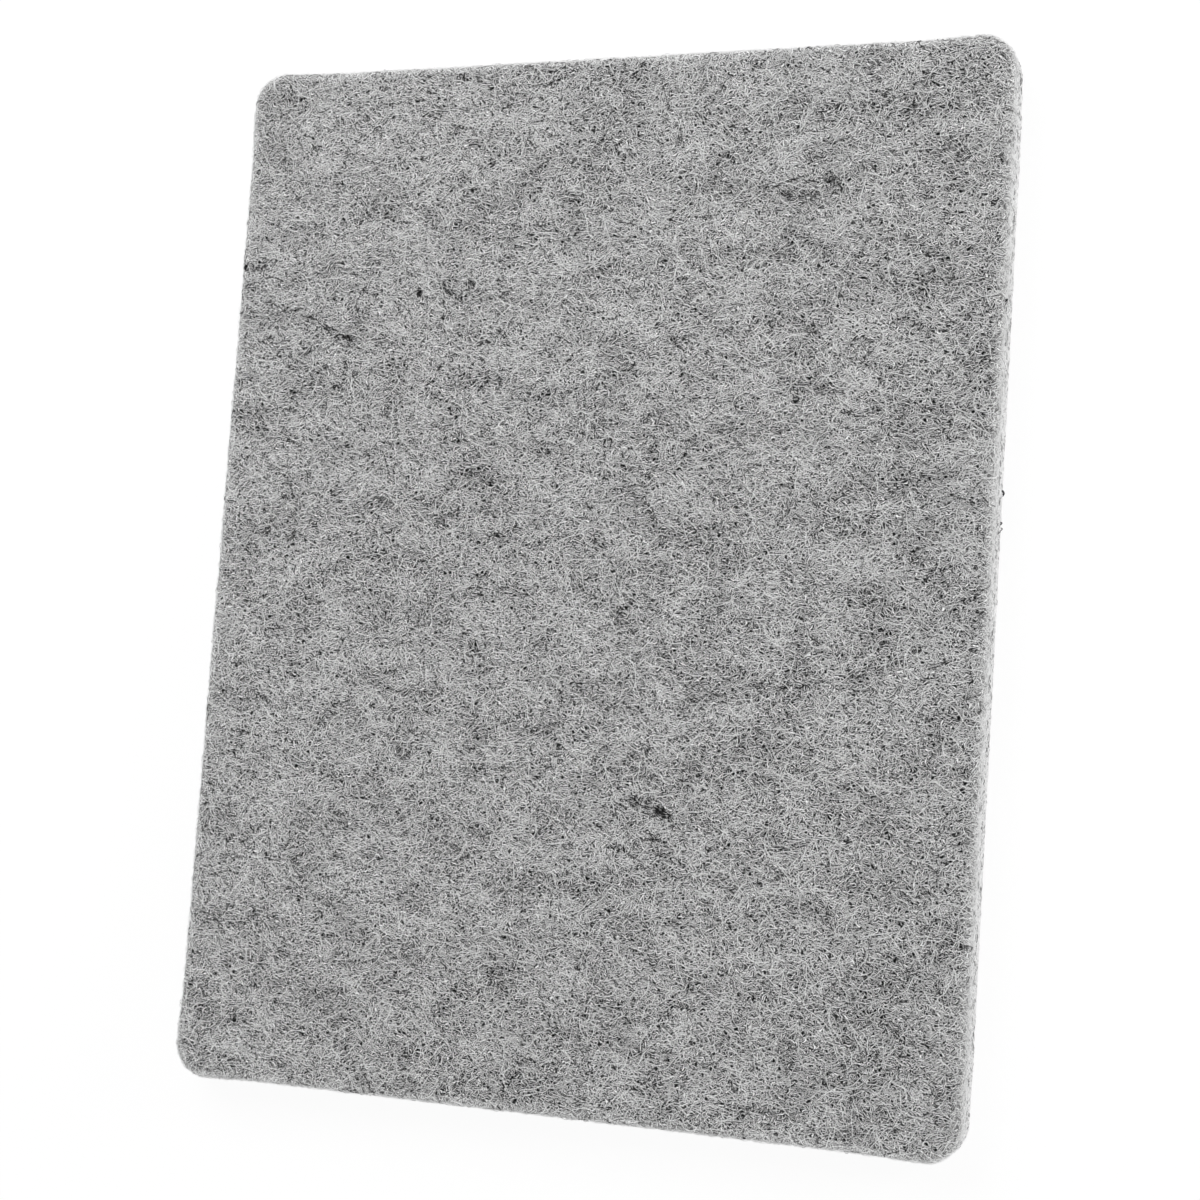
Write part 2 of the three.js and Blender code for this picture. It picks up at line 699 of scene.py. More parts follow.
@dataclass(frozen=True)
class FeltSheet:
    """How a ply's surfaces lie on a unit square: the face that shows, the hidden one and the four sides."""

    margin: float = 0.02
    face_width: float = 0.71
    hidden_left: float = 0.75
    hidden_size: float = 0.09
    side_left: float = 0.86
    side_pitch: float = 0.034
    side_width: float = 0.024

    def face(self, across: Array, along: Array, shows: Array) -> Array:
        """Places points of the two faces.

        Args:
            across: How far across the face they lie, from 0 to 1.
            along: How far along it, from 0 to 1.
            shows: Whether they lie on the face that shows.

        Returns:
            Their places on the square.
        """
        left = np.where(shows, self.margin, self.hidden_left)
        width = np.where(shows, self.face_width, self.hidden_size)
        height = np.where(shows, 1.0 - 2.0 * self.margin, self.hidden_size)
        return np.stack((left + width * across, self.margin + height * along), axis=-1)

    def side(self, number: Array, along: Array, level: Array) -> Array:
        """Places points of the four sides.

        Args:
            number: Which side they lie on, from 0 to 3.
            along: How far along it, from 0 to 1.
            level: How far up it, from 0 to 1.

        Returns:
            Their places on the square.
        """
        left = self.side_left + self.side_pitch * number + self.side_width * level
        return np.stack((left, self.margin + (1.0 - 2.0 * self.margin) * along), axis=-1)


@dataclass
class FeltPly:
    """One sheet of the pad, cut from a flat blank and pressed into its edge section."""

    name: str
    node: str
    slot: FeltSlot
    outline: PadOutline
    relief: FeltRelief
    underside: float
    topside: float
    lower_round: float
    upper_round: float
    is_bottom: bool
    is_top: bool
    mesh_pitch: float
    edge_cuts: int = 7
    rim_reach: float = 8.0 * MM
    fill: float = 0.9
    sheet: FeltSheet = FeltSheet()

    # How the felt grows paler over the rim of the face and down the cut side to its foot, partly as painted
    # light; near the foot, where it lies in shade, painted light makes it paler still
    edge_start: float = 0.1
    edge_fade: float = 0.4
    rim_pale_and_painted_light: float = 0.35
    rim_fade: float = 1.6 * MM
    foot_painted_light: float = 0.75
    foot_reach: float = 9.0 * MM
    foot_fade: float = 0.1

    @property
    def thickness(self) -> float:
        """Gives the ply's thickness."""
        return self.topside - self.underside

    @property
    def section_length(self) -> float:
        """Gives the length of the edge section, round, up and round again."""
        return self.thickness + (np.pi / 2.0 - 1.0) * (self.lower_round + self.upper_round)

    def build(self, face_felt: bpy.types.Material, edge_felt: bpy.types.Material) -> bpy.types.Object:
        """Models and dresses the ply.

        Args:
            face_felt: The felt of its two faces.
            edge_felt: The felt of its cut edge.

        Returns:
            The finished piece, at the origin.
        """
        piece = self.blank()
        piece.data.materials.clear()
        piece.data.materials.append(face_felt)
        piece.data.materials.append(edge_felt)
        self.press(piece.data)
        bpy.ops.object.shade_smooth()
        return piece

    def blank(self) -> bpy.types.Object:
        """Lays two flat sheets and bridges their rims into a sharp slab.

        Returns:
            The slab, whose height runs from 0 at the underside to 1 at the top.
        """
        bpy.ops.object.select_all(action="DESELECT")
        sheets = []
        for height in (0.0, 1.0):
            bpy.ops.mesh.primitive_grid_add(
                x_subdivisions=round(2.0 * self.outline.half_width / self.mesh_pitch),
                y_subdivisions=round(2.0 * self.outline.half_length / self.mesh_pitch),
                size=2.0,
                location=(0.0, 0.0, height),
            )
            sheets.append(bpy.context.object)
        for sheet in sheets:
            sheet.select_set(True)
        bpy.ops.object.join()
        slab = bpy.context.object
        slab.name = self.name
        slab.data.name = self.name
        slab.location.z = 0.0
        slab.scale = (self.outline.half_width, self.outline.half_length, 1.0)
        bpy.ops.object.transform_apply(location=True, rotation=True, scale=True)
        bpy.ops.object.mode_set(mode="EDIT")
        bpy.ops.mesh.select_mode(type="EDGE")
        bpy.ops.mesh.select_all(action="DESELECT")
        bpy.ops.mesh.select_non_manifold()
        bpy.ops.mesh.bridge_edge_loops(number_cuts=self.edge_cuts)
        bpy.ops.mesh.select_all(action="SELECT")
        bpy.ops.mesh.normals_make_consistent(inside=False)
        bpy.ops.object.mode_set(mode="OBJECT")
        return slab

    def press(self, mesh: bpy.types.Mesh) -> None:
        """Moves the slab's points onto the outline and the edge section.

        Args:
            mesh: The bridged blank.
        """
        points = np.empty(len(mesh.vertices) * 3)
        mesh.vertices.foreach_get("co", points)
        x, y, level = points.reshape(-1, 3).T
        level = level - level.min()
        rim = np.minimum(self.outline.half_width - np.abs(x), self.outline.half_length - np.abs(y))
        on_edge = rim < self.mesh_pitch / 4.0
        laid_x, laid_y, out_x, out_y = self.outline.lay(x, y)
        inset, height = self.edge_section(level)
        z = self.underside + height
        fade = np.clip(1.0 - rim / self.rim_reach, 0.0, 1.0) ** 2
        shift = np.where(on_edge, self.relief.edge(laid_x, laid_y, z), 0.0) - inset * fade
        lift = self.relief.face(laid_x, laid_y) * ease(level) if self.is_top else 0.0
        pressed = np.column_stack((laid_x + out_x * shift, laid_y + out_y * shift, z + lift))
        mesh.vertices.foreach_set("co", pressed.ravel())
        edge = mesh.attributes.new(EDGE_AND_PAINTED_LIGHT_SHARE, "FLOAT", "POINT")
        edge.data.foreach_set("value", self.edge_and_painted_light_share(level, z, rim, on_edge))
        self.lay_out(mesh, x, y, level, on_edge)
        mesh.update()

    def edge_section(self, level: Array) -> tuple[Array, Array]:
        """Follows the edge from the underside, round, up and round again.

        Args:
            level: How far along the section, from 0 to 1.

        Returns:
            The inset from the outline and the height over the underside.
        """
        quarter = np.pi / 2.0
        straight = self.thickness - self.lower_round - self.upper_round
        run = level * self.section_length
        lower = np.clip(run / self.lower_round, 0.0, quarter)
        middle = np.clip(run - self.lower_round * quarter, 0.0, straight)
        upper = np.clip((run - self.lower_round * quarter - straight) / self.upper_round, 0.0, quarter)
        inset = self.lower_round * (1.0 - np.sin(lower)) + self.upper_round * (1.0 - np.cos(upper))
        height = self.lower_round * (1.0 - np.cos(lower)) + middle + self.upper_round * np.sin(upper)
        return inset, height

    def edge_and_painted_light_share(self, level: Array, z: Array, rim: Array, on_edge: Array) -> Array:
        """Tells how far points take the cut side's paler felt, partly painted light, and the painted light
        of its shaded foot.

        Args:
            level: How far up the section they lie, from 0 to 1.
            z: How high over the table they lie.
            rim: How far inside the rim they lie.
            on_edge: Whether they lie on the rim.

        Returns:
            The share of each point: 0 well inside an outer face, 1 on the side, and more at its foot, which
                is painted light for the shaded foot.
        """
        # Painted light: the side is made paler towards its foot, where it lies in shade by the floor
        side = 1.0 + self.foot_painted_light * ease(1.0 - z / self.foot_reach)
        if self.is_bottom:
            side = side * ease(level / self.foot_fade)
        if self.is_top:
            over = ease((1.0 - level - self.edge_start) / self.edge_fade)
            side = side * (self.rim_pale_and_painted_light + (1.0 - self.rim_pale_and_painted_light) * over)
        face = self.rim_pale_and_painted_light * ease(1.0 - rim / self.rim_fade) if self.is_top else 0.0
        return np.where(on_edge, side, face)

    def lay_out(self, mesh: bpy.types.Mesh, x: Array, y: Array, level: Array, on_edge: Array) -> None:
        """Gives the side faces the cut edge's felt and lays out the slab's maps.

        Args:
            mesh: The slab, all of quads.
            x: Where each point of the sharp slab lies across it.
            y: Where it lies along it.
            level: How far up the section it lies, from 0 to 1.
            on_edge: Whether it lies on the rim.
        """
        corners = np.empty(len(mesh.loops), dtype=np.int32)
        mesh.loops.foreach_get("vertex_index", corners)
        quads = corners.reshape(-1, 4)
        is_side = on_edge[quads].all(axis=1)
        mesh.polygons.foreach_set("material_index", is_side.astype(np.int32))
        run = self.outline.rim_run(x, y)[quads]
        wraps = run < run.max(axis=1, keepdims=True) - self.outline.rim_length / 2.0
        run = np.where(wraps, run + self.outline.rim_length, run)
        climb = self.underside + self.section_length * level[quads]
        edge_map = mesh.uv_layers.new(name=RUN_MAP)
        edge_map.uv.foreach_set("vector", np.stack((run, climb), axis=-1).ravel() / MM)
        across = x[quads] / (2.0 * self.outline.half_width) + 0.5
        along = y[quads] / (2.0 * self.outline.half_length) + 0.5
        shows = (level[quads].mean(axis=1) < 0.5) == self.is_bottom
        face = self.sheet.face(across, along, shows[:, None])
        side = self.sheet.side(*self.outline.side_run(run), level[quads])
        bake_map = mesh.uv_layers.new(name=BAKE_MAP)
        bake_map.uv.foreach_set("vector", np.where(is_side[:, None, None], side, face).ravel())


@dataclass
class FeltPad:
    """The pad's four plies, stacked as in the frame."""

    outline: PadOutline
    relief: FeltRelief
    arris_round: float = 1.4 * MM
    foot_round: float = 2.2 * MM
    seam_round: float = 0.15 * MM
    seam_swell: float = 0.04 * MM
    fine_pitch: float = 1.5 * MM
    coarse_pitch: float = 2.3 * MM
    face_finish: FeltFinish = FeltFinish("grey_felt")
    edge_finish: FeltFinish = FeltFinish(
        "cut_felt", run_map=RUN_MAP, rise=1.6, lie=0.0, grain=2.0, edge_pale_and_painted_light=1.0, edge_soften=0.42
    )

    def plies(self) -> list[FeltPly]:
        """Lists the plies from the table up.

        Returns:
            The plies, each in the space of its node.
        """
        names = ("bottom", "lower_core", "upper_core", "top")
        stack = []
        for level, name in enumerate(names):
            node = f"{name}_ply"
            low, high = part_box(node)
            is_bottom = level == 0
            is_top = level == len(names) - 1
            stack.append(
                FeltPly(
                    name=f"{name}_felt",
                    node=node,
                    slot=FeltSlot.FACE if is_bottom or is_top else FeltSlot.CORE,
                    outline=self.outline,
                    relief=self.relief,
                    underside=low[2] - (0.0 if is_bottom else self.seam_swell),
                    topside=high[2] + (0.0 if is_top else self.seam_swell),
                    lower_round=self.foot_round if is_bottom else self.seam_round,
                    upper_round=self.arris_round if is_top else self.seam_round,
                    is_bottom=is_bottom,
                    is_top=is_top,
                    mesh_pitch=self.fine_pitch if is_top else self.coarse_pitch,
                )
            )
        return stack

    def build(self) -> None:
        face_felt = self.face_finish.make()
        edge_felt = self.edge_finish.make()
        for ply in self.plies():
            piece = ply.build(face_felt, edge_felt)
            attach(piece, ROOT_BODY)
            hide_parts(ply.node)
            LOG.info("%s: %d faces", piece.name, len(piece.data.polygons))


@dataclass(frozen=True)
class WoolFinish:
    """Loose wool fibres, each of one grey. Greys are linear."""

    name: str = "loose_wool"
    dark_wool: float = 0.0
    pale_wool: float = 1.0
    roughness: float = 0.8
    specular: float = 0.1
    sheen: float = 0.03

    def make(self) -> bpy.types.Material:
        """Writes the wool's nodes.

        Returns:
            The material.
        """
        material, graph = ShaderGraph.for_material(self.name)
        tone = graph.node("ShaderNodeAttribute", {"attribute_name": WOOL_TONE}, output="Fac")
        sockets = {
            "Base Color": graph.mixed(tone, grey(self.dark_wool), grey(self.pale_wool)),
            "Roughness": self.roughness,
            "Specular IOR Level": self.specular,
            "Sheen Weight": self.sheen,
        }
        wool = graph.node("ShaderNodeBsdfPrincipled", {}, sockets)
        graph.finish("ShaderNodeOutputMaterial", wool)
        return material


@dataclass
class PadSurface:
    """The pad's outer surface, unfolded: its upper face runs on over the round edge and down the side."""

    outline: PadOutline
    relief: FeltRelief
    top: float
    arris_round: float
    lowest: float = 0.25 * MM

    def settle(self, x: Array, y: Array, lift: Array) -> tuple[Array, Array]:
        """Lays points of the unfolded surface on the pad.

        Args:
            x: Where the points lie across the unfolded surface.
            y: Where they lie along it.
            lift: How far they stand off the felt.

        Returns:
            The points and the surface's outward direction at each.
        """
        outline = self.outline
        draw_x, draw_y = outline.drawn(x, y)
        past_x = np.abs(x) + draw_x - outline.core_x
        past_y = np.abs(y) + draw_y - outline.core_y
        out_x = np.maximum(past_x, 0.0)
        out_y = np.maximum(past_y, 0.0)
        beyond = np.hypot(out_x, out_y)
        rim = outline.corner_radius - beyond - np.minimum(np.maximum(past_x, past_y), 0.0)
        way_x = np.divide(out_x, beyond, out=np.zeros_like(beyond), where=beyond > 0.0) * np.sign(x)
        way_y = np.divide(out_y, beyond, out=np.zeros_like(beyond), where=beyond > 0.0) * np.sign(y)
        over = np.maximum(self.arris_round - rim, 0.0)
        turn = np.minimum(over / self.arris_round, np.pi / 2.0)
        down = np.maximum(over - self.arris_round * np.pi / 2.0, 0.0)
        height = np.maximum(self.top - self.arris_round * (1.0 - np.cos(turn)) - down, self.lowest)
        stand = lift + self.relief.edge(x, y, height) * np.sin(turn)
        reach = (self.arris_round + stand) * np.sin(turn) - over
        height = height + (lift + self.relief.face(x, y)) * np.cos(turn)
        points = np.stack((x + way_x * reach, y + way_y * reach, height), axis=-1)
        ups = np.stack((way_x * np.sin(turn), way_y * np.sin(turn), np.cos(turn)), axis=-1)
        return points, ups


@dataclass(frozen=True)
class WoolShade:
    """One grey in a mix of wools: its share of the fibres, its linear grey and how far that varies."""

    share: float
    grey: float
    spread: float


@dataclass
class FibreBatch:
    """Loose wool fibres that lie on the pressing face, each a thin crimped strand of one grey."""

    name: str
    surface: PadSurface
    seed: int
    radius: tuple[float, float]
    lift: tuple[float, float]
    shades: tuple[WoolShade, ...]
    count: int = 0
    length: tuple[float, float] = (1.0 * MM, 3.0 * MM)
    lie_spread: float = 0.9
    crimp: tuple[float, float] = (0.1, 0.6)
    crimp_pitch: tuple[float, float] = (2.0 * MM, 5.0 * MM)
    bend: float = 90.0
    sink: float = 0.12 * MM
    free_share: float = 0.0
    clouds: tuple[Unevenness, ...] = ()
    segments: int = 5
    sides: int = 3
    tip: float = 0.35
    taper: float = 0.5
    arch: float = 0.6
    darkest: float = 0.01
    palest: float = 0.98
    most_triangles: int = 195_000
    cell_margin: float = 0.15

    def build(self, wool: bpy.types.Material) -> list[bpy.types.Object]:
        """Models the fibres, in as many pieces as their faces need.

        Args:
            wool: The fibres' material.

        Returns:
            The pieces.
        """
        random = np.random.default_rng(self.seed)
        points, ups = self.strands(random)
        tones = self.pick_tones(random, points.mean(axis=1))
        radii = random.uniform(*self.radius, self.count)
        each = 2 * self.sides * self.segments + 2 * (self.sides - 2)
        parts = math.ceil(self.count * each / self.most_triangles)
        pieces = []
        for part, chosen in enumerate(np.array_split(np.arange(self.count), parts)):
            name = f"{self.name}_{part + 1}"
            mesh = self.tubes(name, points[chosen], ups[chosen], radii[chosen], tones[chosen])
            mesh.materials.append(wool)
            piece = bpy.data.objects.new(mesh.name, mesh)
            bpy.context.collection.objects.link(piece)
            pieces.append(piece)
        return pieces

    def anchors(self, random: np.random.Generator) -> tuple[Array, Array, Array]:
        """Scatters the fibres' middles.

        Args:
            random: The batch's own random numbers.

        Returns:
            The middles on the unfolded surface, as x and y, and the direction in which each fibre lies.
        """
        outline = self.surface.outline
        x = random.uniform(-outline.half_width, outline.half_width, self.count)
        y = random.uniform(-outline.half_length, outline.half_length, self.count)
        return x, y, random.normal(0.0, self.lie_spread, self.count)

    def lengths(self, random: np.random.Generator) -> Array:
        """Gives each fibre its length."""
        return random.uniform(*self.length, self.count)

    def strands(self, random: np.random.Generator) -> tuple[Array, Array]:
        """Draws the fibres' centre lines.

        Args:
            random: The batch's own random numbers.

        Returns:
            Points along each fibre and the surface's outward direction there.
        """
        middle_x, middle_y, lie = (values[:, None] for values in self.anchors(random))
        column = (self.count, 1)
        share = np.linspace(0.0, 1.0, self.segments + 1)
        length = self.lengths(random)[:, None]
        crimp = random.uniform(*self.crimp, column)
        pitch = random.uniform(*self.crimp_pitch, column)
        phase = random.uniform(0.0, 2.0 * np.pi, column)
        bend = random.normal(0.0, self.bend, column)
        run = share * length
        heading = lie + bend * (run - length / 2.0) + crimp * np.sin(2.0 * np.pi * run / pitch + phase)
        step = length / self.segments
        x = np.cumsum(np.cos(heading), axis=1) * step
        y = np.cumsum(np.sin(heading), axis=1) * step
        x = x - x.mean(axis=1, keepdims=True) + middle_x
        y = y - y.mean(axis=1, keepdims=True) + middle_y
        rise = random.uniform(*self.lift, column) + self.sink
        is_free = random.uniform(size=column) < self.free_share
        profile = np.where(is_free, share, np.sin(np.pi * share) ** self.arch)
        return self.surface.settle(x, y, rise * profile - self.sink)

    def pick_tones(self, random: np.random.Generator, middles: Array) -> Array:
        """Gives each fibre its grey, from the batch's mix of wools and the clouds it lies in.

        Args:
            random: The batch's own random numbers.
            middles: The fibres' middles.

        Returns:
            One linear grey for each fibre.
        """
        shares = np.array([shade.share for shade in self.shades])
        picked = random.choice(len(self.shades), self.count, p=shares / shares.sum())
        middle = np.array([shade.grey for shade in self.shades])[picked]
        spread = np.array([shade.spread for shade in self.shades])[picked]
        cloud = 1.0 + sum(hills.at(middles[:, 0], middles[:, 1]) for hills in self.clouds)
        return np.clip(random.normal(middle, spread) * cloud, self.darkest, self.palest)

    def tubes(self, name: str, points: Array, ups: Array, radii: Array, tones: Array) -> bpy.types.Mesh:
        """Makes one mesh of closed tubes along the fibres.

        Args:
            name: The mesh's name.
            points: Points along each fibre.
            ups: The surface's outward direction at those points.
            radii: Each fibre's radius.
            tones: Each fibre's grey.

        Returns:
            The mesh.
        """
        count, rings, _ = points.shape
        along = np.gradient(points, axis=1)
        along = along / np.linalg.norm(along, axis=2, keepdims=True)
        beside = np.cross(ups, along)
        beside = beside / np.linalg.norm(beside, axis=2, keepdims=True)
        above = np.cross(along, beside)
        taper = self.tip + (1.0 - self.tip) * np.sin(np.pi * np.linspace(0.0, 1.0, rings)) ** self.taper
        radius = (radii[:, None] * taper)[..., None]
        angles = 2.0 * np.pi * np.arange(self.sides) / self.sides + np.pi / 2.0
        corners = [points + radius * (np.cos(angle) * beside + np.sin(angle) * above) for angle in angles]
        vertices = np.stack(corners, axis=2).reshape(-1, 3)
        first = (np.arange(count) * rings * self.sides)[:, None, None]
        ring = (np.arange(rings - 1) * self.sides)[None, :, None]
        side = np.arange(self.sides)[None, None, :]
        following = (side + 1) % self.sides
        quads = np.stack(
            (
                first + ring + side,
                first + ring + following,
                first + ring + self.sides + following,
                first + ring + self.sides + side,
            ),
            axis=-1,
        ).reshape(-1, 4)
        start = first[:, 0] + np.arange(self.sides)[::-1]
        end = first[:, 0] + (rings - 1) * self.sides + np.arange(self.sides)
        loops = np.concatenate((quads.ravel(), start.ravel(), end.ravel()))
        totals = np.concatenate((np.full(len(quads), 4), np.full(2 * count, self.sides)))
        mesh = bpy.data.meshes.new(name)
        mesh.vertices.add(len(vertices))
        mesh.vertices.foreach_set("co", vertices.ravel())
        mesh.loops.add(len(loops))
        mesh.loops.foreach_set("vertex_index", loops)
        mesh.polygons.add(len(totals))
        mesh.polygons.foreach_set("loop_start", np.concatenate(([0], np.cumsum(totals)[:-1])))
        mesh.polygons.foreach_set("use_smooth", np.ones(len(totals), dtype=bool))
        mesh.update(calc_edges=True)
        tone = mesh.attributes.new(WOOL_TONE, "FLOAT", "POINT")
        tone.data.foreach_set("value", np.repeat(tones, rings * self.sides))
        bake_map = mesh.uv_layers.new(name=BAKE_MAP)
        bake_map.uv.foreach_set("vector", self.lay_out(count, rings).ravel())
        return mesh

    def lay_out(self, count: int, rings: int) -> Array:
        """Lays the fibres out on a unit square, each on its own cell.

        Args:
            count: How many fibres there are.
            rings: How many rings of corners each has.

        Returns:
            The place of each face's corners, in the order of the mesh: the sides, then the two ends.
        """
        columns = math.ceil(math.sqrt(count))
        fibre = np.arange(count)
        cell = np.stack((fibre % columns, fibre // columns), axis=-1)
        ring = np.arange(rings - 1)[:, None, None] + np.array((0, 0, 1, 1))
        side = np.arange(self.sides)[None, :, None] + np.array((0, 1, 1, 0))
        ring, side = np.broadcast_arrays(ring / (rings - 1.0), side / self.sides)
        walls = np.stack((side, ring), axis=-1).reshape(1, -1, 2)
        angles = 2.0 * np.pi * np.arange(self.sides) / self.sides
        cap = (0.5 + 0.5 * np.stack((np.cos(angles), np.sin(angles)), axis=-1))[None]
        corner = cell[:, None, :] + self.cell_margin
        size = 1.0 - 2.0 * self.cell_margin
        return np.concatenate([(corner + size * at).reshape(-1, 2) for at in (walls, cap, cap)]) / columns


@dataclass
class EdgeFibres(FibreBatch):
    """Loose fibres that run along the cut edge, from the rim of the face down the side."""

    depth: tuple[float, float] = (0.6 * MM, 8.8 * MM)

    def anchors(self, random: np.random.Generator) -> tuple[Array, Array, Array]:
        """Scatters the fibres' middles along the edge.

        Args:
            random: The batch's own random numbers.

        Returns:
            The middles on the unfolded surface, as x and y, and the direction in which each fibre lies.
        """
        x, y, out = self.surface.outline.walk(random.uniform(0.0, 1.0, self.count))
        depth = random.uniform(*self.depth, self.count)
        lie = out + np.pi / 2.0 + random.normal(0.0, self.lie_spread, self.count)
        return x + depth * np.cos(out), y + depth * np.sin(out), lie


@dataclass(frozen=True)
class Kemp:
    """A tuft of dark hair that was carded into the wool, in millimetres. Its lie is in degrees."""

    x: float
    y: float
    lie: float
    reach: float
    breadth: float
    hairs: int
    hair_length: float


@dataclass
class KempFibres(FibreBatch):
    """The dark tufts of the pressing face."""

    kemps: tuple[Kemp, ...] = ()
    scatter: float = 0.5
    length_share: tuple[float, float] = (0.6, 1.4)

    def __post_init__(self) -> None:
        """Counts the hairs of all the tufts."""
        self.count = sum(kemp.hairs for kemp in self.kemps)

    def each(self, name: str) -> Array:
        """Repeats one value of each tuft for all its hairs."""
        values = np.array([getattr(kemp, name) for kemp in self.kemps])
        return np.repeat(values, [kemp.hairs for kemp in self.kemps])

    def anchors(self, random: np.random.Generator) -> tuple[Array, Array, Array]:
        """Gathers the hairs' middles in their tufts.

        Args:
            random: The batch's own random numbers.

        Returns:
            The middles on the unfolded surface, as x and y, and the direction in which each hair lies.
        """
        lie = np.radians(self.each("lie"))
        along = random.normal(0.0, self.scatter, self.count) * self.each("reach")
        across = random.normal(0.0, self.scatter, self.count) * self.each("breadth")
        x = self.each("x") + along * np.cos(lie) - across * np.sin(lie)
        y = self.each("y") + along * np.sin(lie) + across * np.cos(lie)
        return x * MM, y * MM, lie + random.normal(0.0, self.lie_spread, self.count)

    def lengths(self, random: np.random.Generator) -> Array:
        """Gives each hair its length."""
        return random.uniform(*self.length_share, self.count) * self.each("hair_length") * MM


@dataclass
class LooseWool:
    """All the loose fibres of the pad."""

    surface: PadSurface
    finish: WoolFinish = WoolFinish()
    wisp_count: int = 900
    wisp_seed: int = 107
    wisp_turn: float = 35.0
    wisp_reach: tuple[float, float] = (1.0, 6.0)
    wisp_breadth: tuple[float, float] = (0.4, 1.6)
    wisp_hairs: tuple[int, int] = (2, 8)
    wisp_hair_length: tuple[float, float] = (0.8, 2.0)

    def batches(self) -> list[FibreBatch]:
        """Lists the batches of fibres: on the face, along the edge and in dark tufts."""
        return [*self.face_batches(), *self.edge_batches(), *self.tuft_batches()]

    def face_batches(self) -> list[FibreBatch]:
        """Lists the batches that cover the face: matted short fibres, and longer ones that lie over them.

        Returns:
            The batches.
        """
        pale = WoolShade(share=0.75, grey=0.98, spread=0.01)
        deep = WoolShade(share=0.25, grey=0.03, spread=0.03)
        clouds = (
            Unevenness(pitch=6.0 * MM, height=0.3, seed=31),
            Unevenness(pitch=14.0 * MM, height=0.2, seed=32),
            Unevenness(pitch=45.0 * MM, height=0.1, seed=33),
        )
        matted = FibreBatch(
            "face_fibres",
            self.surface,
            seed=101,
            radius=(0.055 * MM, 0.08 * MM),
            lift=(0.02 * MM, 0.22 * MM),
            shades=(pale, deep),
            count=18_000,
            length=(2.5 * MM, 7.5 * MM),
            crimp_pitch=(2.5 * MM, 6.0 * MM),
            bend=140.0,
            clouds=clouds,
            segments=6,
        )
        longer = FibreBatch(
            "long_fibres",
            self.surface,
            seed=102,
            radius=(0.08 * MM, 0.105 * MM),
            lift=(0.2 * MM, 0.35 * MM),
            shades=(pale,),
            count=3_500,
            length=(4.0 * MM, 10.0 * MM),
            crimp=(0.1, 0.5),
            crimp_pitch=(4.0 * MM, 9.0 * MM),
            bend=120.0,
            segments=10,
        )
        return [matted, longer]

    def edge_batches(self) -> list[FibreBatch]:
        """Lists the batches of the cut edge: fibre ends on the side and at its foot, and fuzz at the rim.

        Returns:
            The batches.
        """
        ends = EdgeFibres(
            "edge_fibres",
            self.surface,
            seed=104,
            radius=(0.065 * MM, 0.095 * MM),
            lift=(0.02 * MM, 0.2 * MM),
            shades=(
                WoolShade(share=0.7, grey=0.95, spread=0.03),
                WoolShade(share=0.3, grey=0.24, spread=0.1),
            ),
            count=8_000,
            lie_spread=1.6,
        )
        # Paler greys than the fibres above them: painted light where the foot lies in shade
        foot = EdgeFibres(
            "foot_fibres",
            self.surface,
            seed=110,
            radius=(0.055 * MM, 0.085 * MM),
            lift=(0.0, 0.08 * MM),
            shades=(
                WoolShade(share=0.75, grey=0.95, spread=0.03),
                WoolShade(share=0.25, grey=0.5, spread=0.1),
            ),
            count=2_400,
            length=(0.8 * MM, 2.2 * MM),
            depth=(8.4 * MM, 10.2 * MM),
            lie_spread=0.7,
            segments=4,
        )
        fuzz = EdgeFibres(
            "rim_fuzz",
            self.surface,
            seed=105,
            radius=(0.035 * MM, 0.06 * MM),
            lift=(0.1 * MM, 0.6 * MM),
            shades=(
                WoolShade(share=0.92, grey=0.95, spread=0.03),
                WoolShade(share=0.08, grey=0.3, spread=0.1),
            ),
            count=9_000,
            length=(1.5 * MM, 4.5 * MM),
            depth=(-0.2 * MM, 2.2 * MM),
            crimp=(0.3, 1.0),
            free_share=0.5,
        )
        return [ends, foot, fuzz]

    def tuft_batches(self) -> list[FibreBatch]:
        """Lists the batches of dark hair, from faint wisps to stout tufts.

        Returns:
            The batches.
        """
        dark = (WoolShade(share=1.0, grey=0.02, spread=0.01),)
        wisps = KempFibres(
            "wisp_hairs",
            self.surface,
            seed=106,
            radius=(0.085 * MM, 0.125 * MM),
            lift=(0.1 * MM, 0.25 * MM),
            shades=dark,
            lie_spread=0.4,
            crimp=(0.3, 1.0),
            segments=4,
            kemps=self.wisps(),
        )
        soft = KempFibres(
            "soft_hairs",
            self.surface,
            seed=109,
            radius=(0.08 * MM, 0.11 * MM),
            lift=(0.22 * MM, 0.36 * MM),
            shades=dark,
            lie_spread=0.5,
            kemps=self.soft_tufts(),
        )
        bold = KempFibres(
            "kemp_hairs",
            self.surface,
            seed=108,
            radius=(0.115 * MM, 0.165 * MM),
            lift=(0.32 * MM, 0.48 * MM),
            shades=dark,
            lie_spread=0.3,
            kemps=self.bold_tufts(),
        )
        return [wisps, soft, bold]

    def wisps(self) -> tuple[Kemp, ...]:
        """Scatters small wisps of dark hair over the face, most of them across the pad.

        Returns:
            The wisps.
        """
        random = np.random.default_rng(self.wisp_seed)
        outline = self.surface.outline
        return tuple(
            Kemp(
                x=random.uniform(-outline.half_width, outline.half_width) / MM,
                y=random.uniform(-outline.half_length, outline.half_length) / MM,
                lie=random.normal(0.0, self.wisp_turn),
                reach=random.uniform(*self.wisp_reach),
                breadth=random.uniform(*self.wisp_breadth),
                hairs=int(random.integers(*self.wisp_hairs)),
                hair_length=random.uniform(*self.wisp_hair_length),
            )
            for _ in range(self.wisp_count)
        )

    def soft_tufts(self) -> tuple[Kemp, ...]:
        """Lists the loose dark tufts of thin hairs that show on the face.

        Returns:
            The tufts.
        """
